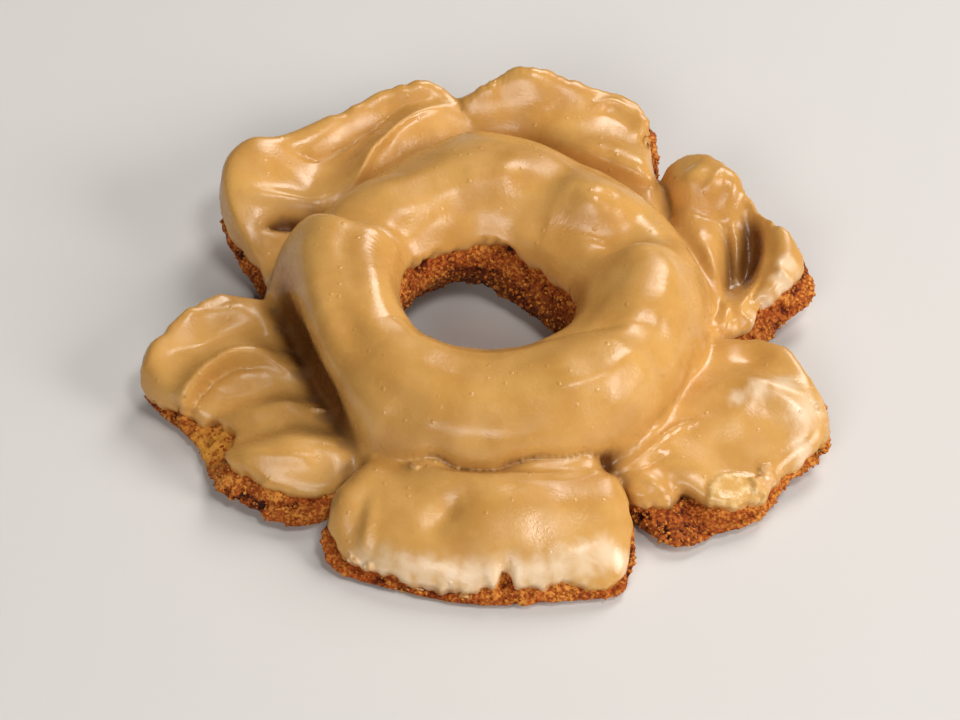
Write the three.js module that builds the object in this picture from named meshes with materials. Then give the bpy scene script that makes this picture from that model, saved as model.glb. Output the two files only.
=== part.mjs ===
/**
 * An old fashioned doughnut: a ring of fried cake whose crust split in the oil into six
 * petals that flare out round a raised crown, under a coat of maple icing.
 *
 * Millimetres, +Z up. Radii are measured from the middle of the hole, and azimuths are degrees
 * round it, anticlockwise from +X seen from above. Every size named here is on the finished
 * doughnut, so the cake lies under it by the icing's thickness wherever it is iced. The origin
 * of the whole is on the table, under the middle of the doughnut's box.
 */
import * as THREE from "three";

const ICING_THICKNESS = 1.2;
const ICING_GAP = 0.3; // air between the icing and the cake, so that the two solids don't touch

const WAIST_HEIGHT = 9; // where the hole is narrowest
const FOOT_HEIGHT = 3.5; // where the hole starts to flare to the base
const FOOT_FLARE = 1.2; // how far the base starts out from the hole's foot
const BASE_OUTER = 27; // the flat that the doughnut stands on runs out to here

// The crown, the raised ring round the hole, at stations round it: the hole's radius at its
// foot and its waist, the height at which the icing ends in the hole, the crest's radius and
// height, and the radius and height of the dip that parts the crown from the petals.
const CROWN = [
  { at: 5, foot: 11.3, hole: 11.5, edge: 11, crest: 22, top: 19.5, dip: 32, low: 8 },
  { at: 30, foot: 10.4, hole: 11.5, edge: 9.8, crest: 22, top: 18.2, dip: 32.8, low: 8 },
  { at: 48, foot: 10.2, hole: 11.6, edge: 9.6, crest: 22.3, top: 18.8, dip: 33, low: 9 },
  { at: 66, foot: 10.6, hole: 12, edge: 10.4, crest: 22.5, top: 19.3, dip: 33, low: 10 },
  { at: 80, foot: 12.5, hole: 12.3, edge: 11.8, crest: 22.8, top: 19.3, dip: 35.2, low: 10.8 },
  { at: 94, foot: 14.8, hole: 12.3, edge: 12.5, crest: 22.8, top: 19.2, dip: 36.3, low: 11.2 },
  { at: 108, foot: 16, hole: 12.3, edge: 12.3, crest: 22.2, top: 18.9, dip: 33.8, low: 10.6 },
  { at: 125, foot: 15.8, hole: 12.3, edge: 12.3, crest: 22, top: 18.9, dip: 31.4, low: 9.2 },
  { at: 145, foot: 15, hole: 12.3, edge: 13, crest: 22.5, top: 20, dip: 31.5, low: 7.5 },
  { at: 160, foot: 14.5, hole: 12.3, edge: 13, crest: 22.5, top: 20, dip: 33.5, low: 7 },
  { at: 180, foot: 13.6, hole: 11.6, edge: 13, crest: 21, top: 20, dip: 28.5, low: 7.5 },
  { at: 210, foot: 12.6, hole: 10.4, edge: 12, crest: 20, top: 20, dip: 27.8, low: 7.5 },
  { at: 240, foot: 11, hole: 9.4, edge: 12, crest: 20, top: 20, dip: 30, low: 9.5 },
  { at: 270, foot: 10.5, hole: 8.8, edge: 12, crest: 20, top: 19.5, dip: 30.3, low: 11.3 },
  { at: 303, foot: 11, hole: 9.6, edge: 12, crest: 21, top: 20.3, dip: 32, low: 8.5 },
  { at: 335, foot: 11.4, hole: 11, edge: 12, crest: 21.5, top: 20.3, dip: 30.8, low: 9 },
];

// The petals, anticlockwise. Each starts at a crack, which reaches in to a tip at
// [azimuth, reach, height] and points at the crown's inner azimuth, and ends at the next petal's.
// Its rim is a curve through [azimuth, reach, height, bare, drop], where bare is how far the cake
// stands out under the icing, and drop is how far the icing runs down from the rim where that is
// more than its rounded edge. lip is the petal's thickness at its start and end, swell is how
// far its middle rises above a straight slope from the dip to the rim, and columns is how many
// steps the mesh takes along the rim.
const PETALS = [
  {
    name: "right", columns: 22, swell: -0.5, lip: [6, 7],
    crack: { inner: 0, tip: [1, 33.5, 4.5] },
    rim: [
      [2, 36.5, 6, 1], [7, 39.5, 6.5, 3], [12, 45.4, 8, 3], [16, 47.5, 9.5, 1.5],
      [21, 47, 11.5, 0.8], [28, 45.3, 12.5, 0.6], [35, 45.5, 13, 0.5], [41, 45.4, 14.3, 0.5],
      [47, 43.8, 12.7, 0.5], [51, 42.2, 10.4, 0.5],
    ],
  },
  {
    name: "back right", columns: 20, swell: 0.5, lip: [5, 6],
    crack: { inner: 42, tip: [51, 39.8, 8.4] },
    rim: [
      [54.5, 42, 11.5, 1.2], [58.5, 46.8, 13.5, 0.6], [64, 48.4, 14.3, 0.5],
      [70, 47.6, 15, 0.5], [77, 46.2, 15.5, 0.5], [82, 46.4, 16.5, 0.5], [86, 45.2, 15.7, 0.5],
      [90, 43.5, 14.5, 0.5],
    ],
  },
  {
    name: "back left", columns: 24, swell: 0.5, lip: [6, 9.2],
    crack: { inner: 93, tip: [93.5, 43.6, 13.3] },
    rim: [
      [97, 44.2, 14, 0.5], [101, 46.2, 15, 0.4], [106, 46.4, 15.3, 0.4], [117, 45.4, 14.8, 0.4],
      [127, 46, 14.3, 0.4, 1.5], [133, 47.2, 14.3, 0.4, 3.5], [137, 49.4, 14.5, 0.2, 4.8],
      [142, 49.6, 14, -0.2, 6], [146, 47.8, 13, -0.6, 6.4], [150, 44.8, 11.3, -0.4, 6],
      [154, 39.5, 8.5, 0.4, 3.2],
    ],
  },
  {
    name: "left", columns: 25, swell: 0.4, lip: [7, 5.4],
    crack: { inner: 158, tip: [158, 35, 4.5] },
    rim: [
      [166, 33.5, 5, 0.5], [170, 37.5, 9, 0.5], [177, 43.2, 10, 0.4, 1.9],
      [184, 47.2, 9.8, 0.2, 5], [188.5, 49.8, 8.2, 0.2, 5.4], [193, 47.5, 6.5, 0.4, 3.6],
      [198, 43.8, 5.2, 1.2, 1.2], [201.5, 40.8, 5, 4], [206, 39.8, 5, 5.6], [210, 42, 5.6, 3.8],
      [213.5, 44, 6.1, 2.2], [218, 42.6, 6.2, 3], [222, 41, 6.2, 3.6], [229, 38.4, 5.6, 5.2],
      [233, 36.5, 5.4, 4.4],
    ],
  },
  {
    name: "front", columns: 21, swell: 2, lip: [2.8, 3],
    crack: { inner: 234.5, tip: [235, 32.3, 5] },
    rim: [
      [235.3, 38.2, 6.1, 0.6, 2.6], [237.5, 42, 4.8, 1.8, 1.8], [241, 43.4, 3.4, 2.6, 1.3],
      [254, 44.7, 3, 1], [268, 45.4, 3, 1.4], [283, 45.8, 3.4, 1.5], [292.5, 47.6, 3, 0.8],
      [296.4, 44.5, 4, 1], [300.4, 39.5, 5.8, 0.8],
    ],
  },
  {
    name: "front right", columns: 22, swell: 0.5, lip: [5, 3.4],
    crack: { inner: 304, tip: [303.2, 33.8, 5] },
    rim: [
      [303.6, 38, 5.6, 8], [309, 37.8, 5.3, 8.8], [314, 41, 4.8, 6.2], [317, 46.2, 4.2, 1.8],
      [322, 48, 4.3, 0.7], [326, 48.2, 5, 0.4, 1.3], [330.5, 48.4, 5.8, 0.2, 1.6],
      [337, 51.5, 6.6, 0.2, 1.9], [341, 51, 7.7, 0.2, 2.2], [344.5, 49.4, 8.6, 0.2, 2.2],
      [349, 46.2, 9.3, 0.4, 1.6], [355, 42, 9.5, 0.5], [357.5, 36.5, 7.8, 0.5],
    ],
  },
];

// Ridges and furrows of the iced surface: each runs along a curve through
// [azimuth, radius, rise], and fades sideways over its width.
const FOLDS = [
  { name: "right knob", width: 3, path: [[43, 42, 1.5], [39, 38.5, 2.2], [35, 42, 1.2]] },
  {
    name: "right furrow", width: 2.2,
    path: [[34, 38.5, -0.8], [30, 39, -1.6], [22, 38, -1.8], [14, 35.7, -1]],
  },
  {
    name: "right bowl", width: 2.5,
    path: [[31, 44, -1], [26, 42, -2.4], [20, 40, -2.4], [14, 36.8, -1]],
  },
  {
    name: "right roll", width: 2.6,
    path: [[27, 45, 0.6], [20, 44.2, 2], [14, 43, 3.2], [9, 38.5, 1.8], [5, 34.5, 0.4]],
  },
  {
    name: "back right shelf", width: 2.6,
    path: [[74, 36, 1.2], [66, 36, 2.4], [57, 37, 2.2], [50, 37.5, 1.2]],
  },
  { name: "back right lump", width: 2, path: [[93, 41, 1.2], [88, 42.8, 1.4], [82, 44, 0.8]] },
  {
    name: "back left ridge", width: 2.3,
    path: [[98, 41.5, 0.8], [103, 40, 1.6], [110, 37.8, 2.2], [117, 35.7, 2.8], [124, 33.8, 2.8],
      [131, 33.2, 2.2], [138, 34.2, 1.8], [146, 37, 0.8]],
  },
  {
    name: "back left crease", width: 2.1,
    path: [[132, 43.6, -0.4], [130, 39.8, -1.4], [121, 39.4, -1.6], [108, 42.5, -1.3],
      [99, 43, -0.5]],
  },
  { name: "back left knob", width: 4.2, path: [[138, 45, 1.4], [145, 43.4, 1.4], [149, 41, 0.8]] },
  {
    name: "left valley", width: 2.2,
    path: [[184, 46.5, -0.8], [184, 40.8, -1.3], [181, 36.6, -1.3], [184, 30, -0.5]],
  },
  {
    name: "left step", width: 2.1,
    path: [[195, 43, 0.8], [191.5, 38, 1.5], [190, 32.6, 1.4], [193, 29, 0.5]],
  },
  {
    name: "left step foot", width: 2.1,
    path: [[200, 42.5, -1.2], [197, 38.5, -1.8], [198, 34, -1.5], [203, 29, -0.6]],
  },
  { name: "left middle lobe", width: 2.5, path: [[203, 38, 1], [206, 34, 1.4], [211, 30, 0.6]] },
  { name: "left furrow", width: 2.2, path: [[208, 39.4, -0.8], [212, 34.6, -1.2], [218, 29.5, -0.8]] },
  {
    name: "left lower lobe", width: 2.6,
    path: [[213.5, 42, 0.8], [216, 39, 1.8], [221, 35, 2.2], [228, 31.5, 0.8]],
  },
  { name: "front edge roll", width: 2.4, path: [[236, 34, 0.6], [237.5, 38.5, 1.2], [242, 41, 0.6]] },
  { name: "front dimple", width: 2.2, path: [[257, 38, -0.7], [262, 38.5, -0.7]] },
  {
    name: "front right ridge", width: 2.4,
    path: [[334, 33.5, 0.6], [343, 37.5, 1.4], [341, 44.5, 0.8]],
  },
  { name: "front right hollow", width: 2.6, path: [[350, 37.5, -1], [346, 42.5, -0.6]] },
  { name: "crown's left lump", width: 4.6, path: [[198, 21.5, 0.9], [182, 22.5, 1.4], [166, 23, 1.2]] },
  { name: "crown's left fold", width: 2.8, path: [[144, 15.5, -0.6], [147, 20, -1.2], [149, 28, -0.9]] },
  { name: "crown's back lump", width: 4, path: [[122, 21.5, 0.7], [102, 21.5, 1.1], [86, 22, 0.6]] },
  { name: "crown's back dip", width: 3, path: [[70, 18, -0.5], [65, 23, -0.9], [64, 28, -0.6]] },
  { name: "crown's back right lump", width: 4, path: [[52, 22, 1], [44, 24, 1.1]] },
  { name: "crown's right dip", width: 3, path: [[20, 16.5, -0.8], [28, 20, -1.4], [33, 25.5, -0.9]] },
  { name: "crown's right lump", width: 4.4, path: [[8, 22, 1.2], [352, 23.5, 1.2]] },
  { name: "crown's front right dip", width: 3.2, path: [[329, 18, -0.8], [331, 26, -1]] },
  { name: "crown's front lump", width: 4.4, path: [[313, 24.5, 1], [298, 24, 1]] },
  { name: "crown's front left dent", width: 4, path: [[230, 20, -0.4], [216, 24, -0.8]] },
];

const CROWN_STEPS = 7; // rows from the icing's edge in the hole to just before the dip
const CROWN_END = 166; // how far over the crown's section the last of them is, in degrees
const PETAL_SHARES = [0, 0.13, 0.29, 0.46, 0.63, 0.8, 0.93]; // rows from the dip to the rim
const EDGE_DROP = 0.9; // how far the icing's rounded edge falls below the rim
const FULL_SWELL_REACH = 12; // petals shorter than this swell less
const SIDE_SHARE = 0.6; // how far down its lip the cake's side stands out most
const UNDERCUT = 1.2; // how far in from there its underside starts
const UNDER_SHARE = 0.5; // the row halfway under the petal, as a share of the way to the base
const LOWEST_LIP = 0.35; // the petals' underside stays this far above the table
const FOLD_STEPS = 24;
const SMOOTHING_PASSES = 3;
const CRACK_BARE = 0.5; // how far the cake stands out under the icing at a crack's tip

const degrees = THREE.MathUtils.degToRad;
const lerp = THREE.MathUtils.lerp;
const wrap = THREE.MathUtils.euclideanModulo;

/** The point at an azimuth in degrees, a radius and a height. */
function polar(azimuth, radius, height) {
  const angle = degrees(azimuth);
  return new THREE.Vector3(radius * Math.cos(angle), radius * Math.sin(angle), height);
}

/** The crown's sizes at any azimuth, joined up between its stations by smooth curves. */
function crownAt(azimuth) {
  const turned = wrap(azimuth - CROWN[0].at, 360) + CROWN[0].at;
  const after = CROWN.findIndex((station) => station.at > turned);
  const last = (after < 0 ? CROWN.length : after) - 1;
  const [a, b, c, d] = [-1, 0, 1, 2].map((step) => CROWN[wrap(last + step, CROWN.length)]);
  const t = (turned - b.at) / wrap(c.at - b.at, 360);
  const sizes = {};
  for (const key of Object.keys(b)) {
    const start = (c[key] - a[key]) / 2;
    const end = (d[key] - b[key]) / 2;
    const change = c[key] - b[key];
    const bend = 3 * change - 2 * start - end + t * (start + end - 2 * change);
    sizes[key] = b[key] + t * (start + t * bend);
  }
  return sizes;
}

/** A petal's columns: where each one meets the crown and the rim, and its sizes there. */
function petalColumns(petal, next) {
  const tips = [petal, next].map(({ crack }) => [...crack.tip, CRACK_BARE]);
  const stations = [tips[0], ...petal.rim, tips[1]];
  const points = stations.map(([azimuth, reach, height]) => polar(azimuth, reach, height));
  const rim = new THREE.CatmullRomCurve3(points, false, "centripetal");
  const sweep = wrap(next.crack.inner - petal.crack.inner, 360);
  return Array.from({ length: petal.columns }, (_, i) => {
    const share = i / petal.columns;
    const place = rim.getUtoTmapping(share) * (stations.length - 1);
    const before = stations[Math.floor(place)];
    const after = stations[Math.floor(place) + 1];
    const azimuth = petal.crack.inner + sweep * share;
    return {
      azimuth,
      crown: crownAt(azimuth),
      rim: rim.getPointAt(share),
      bare: lerp(before[3], after[3], place % 1),
      drop: lerp(before[4] ?? EDGE_DROP, after[4] ?? EDGE_DROP, place % 1),
      lip: lerp(petal.lip[0], petal.lip[1], share),
      swell: petal.swell,
    };
  });
}

const columns = PETALS.flatMap((petal, i) => petalColumns(petal, PETALS[(i + 1) % PETALS.length]));

// Each fold as points along its path: x and y are its place, and z is its rise there.
const foldLines = FOLDS.map(({ width, path }) => {
  const points = path.map(([azimuth, radius, rise]) => polar(azimuth, radius, rise));
  const curve = new THREE.CatmullRomCurve3(points, false, "centripetal");
  return { width, points: curve.getPoints(FOLD_STEPS) };
});

/** How far the folds lift the iced surface at a point. */
function foldRise(p) {
  let rise = 0;
  for (const { width, points } of foldLines) {
    const distances = points.map((q) => Math.hypot(p.x - q.x, p.y - q.y));
    const nearest = Math.min(...distances);
    rise += points[distances.indexOf(nearest)].z * Math.exp(-((nearest / width) ** 2));
  }
  return rise;
}

/** The crown at an angle over its section: 0 faces the hole, 90 is the crest, 180 the dip. */
function crownPoint({ azimuth, crown }, angle) {
  const inside = angle < 90;
  const reach = inside ? crown.crest - crown.hole : crown.dip - crown.crest;
  const floor = inside ? WAIST_HEIGHT : crown.low - 1;
  const radius = crown.crest - reach * Math.cos(degrees(angle));
  return polar(azimuth, radius, floor + (crown.top - floor) * Math.sin(degrees(angle)));
}

/** A column's iced rows, before any folds, from the icing's edge in the hole out to the rim. */
function icedRows(column) {
  const { azimuth, rim, drop, crown, swell } = column;
  const climb = (crown.edge - WAIST_HEIGHT) / (crown.top - WAIST_HEIGHT);
  const first = THREE.MathUtils.radToDeg(Math.asin(climb));
  const rows = [];
  for (let i = 0; i < CROWN_STEPS; i += 1) {
    rows.push(crownPoint(column, lerp(first, CROWN_END, i / (CROWN_STEPS - 1))));
  }
  const dip = polar(azimuth, crown.dip, crown.low);
  const reach = Math.hypot(rim.x - dip.x, rim.y - dip.y);
  for (const share of PETAL_SHARES) {
    const p = dip.clone().lerp(rim, share);
    p.z += swell * Math.min(1, reach / FULL_SWELL_REACH) * Math.sin(Math.PI * share);
    rows.push(p);
  }
  rows.push(rim.clone().setZ(rim.z - drop));
  return rows;
}

/** The bare rows of one column, from under the icing's edge round the underside to the hole. */
function bareRows({ azimuth, crown, bare, drop, lip }, edge) {
  const out = new THREE.Vector3(edge.x, edge.y, 0).normalize();
  const bottom = Math.max(LOWEST_LIP, edge.z + drop - lip);
  const side = edge.clone().addScaledVector(out, bare).setZ(lerp(edge.z, bottom, SIDE_SHARE));
  const under = edge.clone().addScaledVector(out, bare - UNDERCUT).setZ(bottom);
  const base = polar(azimuth, Math.min(BASE_OUTER, crown.dip - 2), 0);
  return [
    side,
    under,
    under.clone().lerp(base, UNDER_SHARE),
    base,
    polar(azimuth, crown.foot + FOOT_FLARE, 0),
    polar(azimuth, crown.foot, FOOT_HEIGHT),
    polar(azimuth, crown.hole, WAIST_HEIGHT - 1),
  ];
}

/** The points or directions round one of a net of columns and rows, and the one itself twice. */
function around(net, c, r) {
  const column = net[c];
  return [
    net[wrap(c - 1, net.length)][r],
    net[(c + 1) % net.length][r],
    column[Math.max(0, r - 1)],
    column[Math.min(column.length - 1, r + 1)],
    column[r],
    column[r],
  ];
}

/** The way out of the surface at each point of the iced rows, evened out over its neighbours. */
function outwards(net) {
  let ways = net.map((column, c) =>
    column.map((_, r) => {
      const [before, after, inner, outer] = around(net, c, r);
      return outer.clone().sub(inner).cross(after.clone().sub(before)).normalize();
    }),
  );
  for (let pass = 0; pass < SMOOTHING_PASSES; pass += 1) {
    ways = ways.map((column, c) =>
      column.map((_, r) =>
        around(ways, c, r).reduce((sum, way) => sum.add(way), new THREE.Vector3()).normalize(),
      ),
    );
  }
  return ways;
}

/**
 * A torus with its vertices moved to sections round it, each a closed loop of points. Squares
 * from the row turned on are split into triangles along their other diagonal, so that a face
 * whose rows run back lies evenly against one whose rows run on.
 */
function skinned(sections, turned = Infinity) {
  const rows = sections[0].length;
  const stride = sections.length + 1;
  const geometry = new THREE.TorusGeometry(2, 1, rows, sections.length);
  const position = geometry.getAttribute("position");
  const index = [];
  for (let row = 0; row <= rows; row += 1) {
    for (let column = 0; column < stride; column += 1) {
      // A torus's rows go over it from outside to inside, and a section's the other way.
      const p = sections[column % sections.length][(rows - row) % rows];
      position.setXYZ(row * stride + column, p.x, p.y, p.z);
      if (row > 0 && column > 0) {
        const here = row * stride + column;
        const [a, b, c, d] = [here - 1, here - stride - 1, here - stride, here];
        index.push(...(rows - row < turned ? [a, b, d, b, c, d] : [a, b, c, a, c, d]));
      }
    }
  }
  geometry.setIndex(index);
  geometry.deleteAttribute("uv");
  geometry.computeVertexNormals();
  return geometry;
}

const unfolded = columns.map(icedRows);
const ways = outwards(unfolded);

/** The iced rows moved into the doughnut by a depth, then lifted by the folds. */
function inset(depth) {
  return unfolded.map((column, c) =>
    column.map((p, r) => {
      const moved = p.clone().addScaledVector(ways[c][r], -depth);
      return moved.setZ(moved.z + foldRise(p));
    }),
  );
}

const iced = inset(0);
const icingInside = inset(ICING_THICKNESS);
const cakeTop = inset(ICING_THICKNESS + ICING_GAP);

const cake = new THREE.Mesh(
  skinned(columns.map((column, c) => [...cakeTop[c], ...bareRows(column, iced[c].at(-1))])),
  new THREE.MeshStandardMaterial({ color: 0xa8601f, roughness: 0.9, metalness: 0 }),
);
cake.name = "cake";

const icing = new THREE.Mesh(
  skinned(iced.map((section, c) => [...section, ...icingInside[c].toReversed()]), iced[0].length),
  new THREE.MeshStandardMaterial({ color: 0xcc9a5b, roughness: 0.35, metalness: 0 }),
);
icing.name = "maple_icing";

const doughnut = new THREE.Group();
doughnut.add(cake, icing);
const middle = new THREE.Box3().setFromObject(doughnut).getCenter(new THREE.Vector3());
doughnut.position.set(-middle.x, -middle.y, 0);

export default doughnut;
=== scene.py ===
"""An old fashioned doughnut under maple icing, on a pale table in soft studio light.

Places on the doughnut are given as (azimuth, radius): degrees anticlockwise from +X seen from
above, and millimetres from the middle of the hole. Heights and sizes are millimetres too, and
become metres where they are multiplied by MM.
"""
import math

import bmesh
import bpy
import numpy as np
from mathutils import Matrix, Vector, noise
from mathutils.kdtree import KDTree


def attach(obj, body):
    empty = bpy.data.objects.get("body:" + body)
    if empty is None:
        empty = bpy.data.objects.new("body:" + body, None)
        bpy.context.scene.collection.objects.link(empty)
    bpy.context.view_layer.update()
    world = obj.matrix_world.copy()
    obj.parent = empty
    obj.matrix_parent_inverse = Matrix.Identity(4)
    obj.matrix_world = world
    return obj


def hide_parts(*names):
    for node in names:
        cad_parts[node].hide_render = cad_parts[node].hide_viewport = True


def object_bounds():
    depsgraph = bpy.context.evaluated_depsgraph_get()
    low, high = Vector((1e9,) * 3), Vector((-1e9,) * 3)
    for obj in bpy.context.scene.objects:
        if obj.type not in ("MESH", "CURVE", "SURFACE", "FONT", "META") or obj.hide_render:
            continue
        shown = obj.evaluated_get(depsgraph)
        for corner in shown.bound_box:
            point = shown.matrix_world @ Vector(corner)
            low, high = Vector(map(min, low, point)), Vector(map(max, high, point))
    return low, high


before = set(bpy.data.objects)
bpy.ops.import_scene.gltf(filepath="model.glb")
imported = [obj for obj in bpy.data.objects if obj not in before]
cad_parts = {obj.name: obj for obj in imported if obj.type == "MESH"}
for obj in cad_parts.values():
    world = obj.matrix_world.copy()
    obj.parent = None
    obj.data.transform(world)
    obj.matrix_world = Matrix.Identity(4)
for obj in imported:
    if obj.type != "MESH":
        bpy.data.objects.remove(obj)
cad_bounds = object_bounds()

MM = 0.001
HOLE = np.array([0.55, 0.2]) * MM  # the middle of the hole
SEED = 20


# --- The view and the light -----------------------------------------------------------------

VIEW_HEIGHT = math.radians(45)
VIEW_DISTANCE = 0.7  # metres
VIEW_AIM = Vector((-0.6, 1.2, 1.0)) * MM
VIEW_LENS = 183.75

LAMP_DISTANCE = 1.1  # metres
# Each softbox: its azimuth and height in degrees, its sizes in metres, its watts and its tint.
SOFTBOXES = {
    "right": (-20, 27, (0.5, 0.4), 7.4, (1, 0.98, 0.95)),
    "back": (60, 42, (0.4, 0.5), 6.2, (1, 0.98, 0.95)),
    "front": (-105, 34, (0.6, 0.4), 4.6, (1, 0.99, 0.97)),
    "overhead": (-40, 68, (0.3, 0.22), 3.4, (1, 0.99, 0.98)),
}
ROOM_TINT = (1, 0.98, 0.97, 1)
ROOM_LIGHT = 0.03

TABLE_COLOUR = (216, 212, 208)
TABLE_HALF = 1.5  # metres


def add_camera():
    lens = bpy.data.cameras.new("view")
    lens.lens = VIEW_LENS
    camera = bpy.data.objects.new("view", lens)
    back = Vector((0, -math.cos(VIEW_HEIGHT), math.sin(VIEW_HEIGHT)))
    camera.location = VIEW_AIM + VIEW_DISTANCE * back
    camera.rotation_euler = (math.pi / 2 - VIEW_HEIGHT, 0, 0)
    bpy.context.scene.collection.objects.link(camera)
    bpy.context.scene.camera = camera


def add_softbox(name, azimuth, height, size, watts, tint):
    """A rectangular soft light that faces the doughnut from a direction in degrees."""
    lamp = bpy.data.lights.new(name, "AREA")
    lamp.shape = "RECTANGLE"
    lamp.size, lamp.size_y = size
    lamp.energy = watts
    lamp.color = tint
    box = bpy.data.objects.new(name, lamp)
    turn, rise = math.radians(azimuth), math.radians(height)
    across = math.cos(rise)
    way = Vector((across * math.cos(turn), across * math.sin(turn), math.sin(rise)))
    box.location = LAMP_DISTANCE * way
    box.rotation_euler = way.to_track_quat("Z", "Y").to_euler()
    bpy.context.scene.collection.objects.link(box)


def add_studio():
    for name, softbox in SOFTBOXES.items():
        add_softbox(name, *softbox)
    world = bpy.data.worlds.new("studio")
    world.use_nodes = True
    background = world.node_tree.nodes["Background"]
    background.inputs["Color"].default_value = ROOM_TINT
    background.inputs["Strength"].default_value = ROOM_LIGHT
    bpy.context.scene.world = world
    bpy.context.scene.view_settings.view_transform = "Standard"


def add_table():
    bm = bmesh.new()
    bmesh.ops.create_grid(bm, x_segments=1, y_segments=1, size=TABLE_HALF)
    table = bpy.data.objects.new("table", new_mesh("table", bm))
    bpy.context.scene.collection.objects.link(table)
    finish = Finish("table")
    table.data.materials.append(finish.surface(Base_Color=colour(TABLE_COLOUR), Roughness=0.6))


# --- Shader maths ---------------------------------------------------------------------------

# The Mix node's colour sockets share their names with its other sockets, so they go by number.
FIRST_COLOUR, SECOND_COLOUR, MIXED_COLOUR = 6, 7, 2


class Wire:
    """A socket's value. Arithmetic on it adds Math nodes to its finish."""

    def __init__(self, finish, socket):
        self.finish = finish
        self.socket = socket

    def _math(self, operation, *values):
        sockets = dict(enumerate(values))
        return self.finish.node("ShaderNodeMath", {"operation": operation}, sockets)

    def __add__(self, other):
        return self._math("ADD", self, other)

    def __mul__(self, other):
        return self._math("MULTIPLY", self, other)

    __radd__ = __add__
    __rmul__ = __mul__


class Finish:
    """A procedural material, built up from nodes on the piece's own Object coordinates."""

    def __init__(self, name):
        self.material = bpy.data.materials.new(name)
        self.material.use_nodes = True
        self.tree = self.material.node_tree
        self.tree.nodes.clear()
        self.place = self.node("ShaderNodeTexCoord", {}, {}, "Object")

    def node(self, kind, settings, sockets, output=0):
        """Adds a node, sets it up, fills its sockets with values or wires, and gives an output."""
        node = self.tree.nodes.new(kind)
        for key, value in settings.items():
            setattr(node, key, value)
        for key, value in sockets.items():
            if isinstance(value, Wire):
                self.tree.links.new(value.socket, node.inputs[key])
            else:
                node.inputs[key].default_value = value
        return Wire(self, node.outputs[output]) if len(node.outputs) else None

    def noise(self, size, detail=2.0, roughness=0.5):
        """Soft noise from 0 to 1, with blotches of a size in millimetres."""
        sockets = {"Vector": self.place, "Scale": 1 / (size * MM), "Detail": detail,
                   "Roughness": roughness}
        return self.node("ShaderNodeTexNoise", {}, sockets)

    def cells(self, size):
        """The distance to the nearest of scattered points, with cells of a size in millimetres."""
        sockets = {"Vector": self.place, "Scale": 1 / (size * MM)}
        return self.node("ShaderNodeTexVoronoi", {}, sockets)

    def attribute(self, name):
        return self.node("ShaderNodeAttribute", {"attribute_name": name}, {}, "Fac")

    def ease(self, value, low, high, start=0.0, end=1.0):
        """value from low to high mapped smoothly onto start to end."""
        sockets = {"Value": value, "From Min": low, "From Max": high, "To Min": start, "To Max": end}
        return self.node("ShaderNodeMapRange", {"interpolation_type": "SMOOTHSTEP"}, sockets)

    def blend(self, factor, first, second):
        """first where factor is 0 and second where it is 1, both colours."""
        sockets = {"Factor": factor, FIRST_COLOUR: colour(first), SECOND_COLOUR: colour(second)}
        return self.node("ShaderNodeMix", {"data_type": "RGBA"}, sockets, MIXED_COLOUR)

    def bump(self, height, distance):
        """A normal tilted by height, where 1 is a distance in millimetres."""
        return self.node("ShaderNodeBump", {}, {"Height": height, "Distance": distance * MM})

    def surface(self, **sockets):
        """Ends the finish with a Principled shader."""
        named = {key.replace("_", " "): value for key, value in sockets.items()}
        shader = self.node("ShaderNodeBsdfPrincipled", {}, named)
        self.node("ShaderNodeOutputMaterial", {}, {"Surface": shader})
        return self.material


def colour(value):
    """A colour socket's value from a wire or from sRGB numbers of 0 to 255."""
    if isinstance(value, Wire):
        return value
    return tuple(((v / 255 + 0.055) / 1.055) ** 2.4 for v in value) + (1.0,)


# --- Finishes -------------------------------------------------------------------------------

MAPLE, PALE_MAPLE, GRAINY_MAPLE = (197, 143, 72), (212, 160, 87), (222, 170, 96)
POOLED_AND_SHADED = (100, 54, 18)  # icing pooled deep in the creases, darkened further with painted shade
GLAZED = (132, 96, 66)  # thin wet icing along the cracks
PAINTED_SHEEN = (240, 212, 176)  # painted sheen: pale whitish icing where the softboxes reflect on the petals' outer parts
FLAKE, FLAKE_MIDDLE = (212, 160, 98), (244, 222, 184)
AMBER, PALE_AMBER = (214, 164, 92), (236, 198, 136)

SHADED_PIT_CRUMB, CRUMB, LIT_CRUMB_TIPS = (54, 18, 6), (168, 80, 22), (228, 152, 64)
# HOLE_SHADE is painted shade for the lower wall of the hole, where little light reaches
RUDDY, GOLDEN, HOLE_SHADE = (170, 66, 10), (246, 178, 70), (58, 16, 3)
GRAIN_LIGHTER = 0.12  # loose grains are this much higher up the crumb's ramp from painted shade in its pits to painted light on its tips


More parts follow.
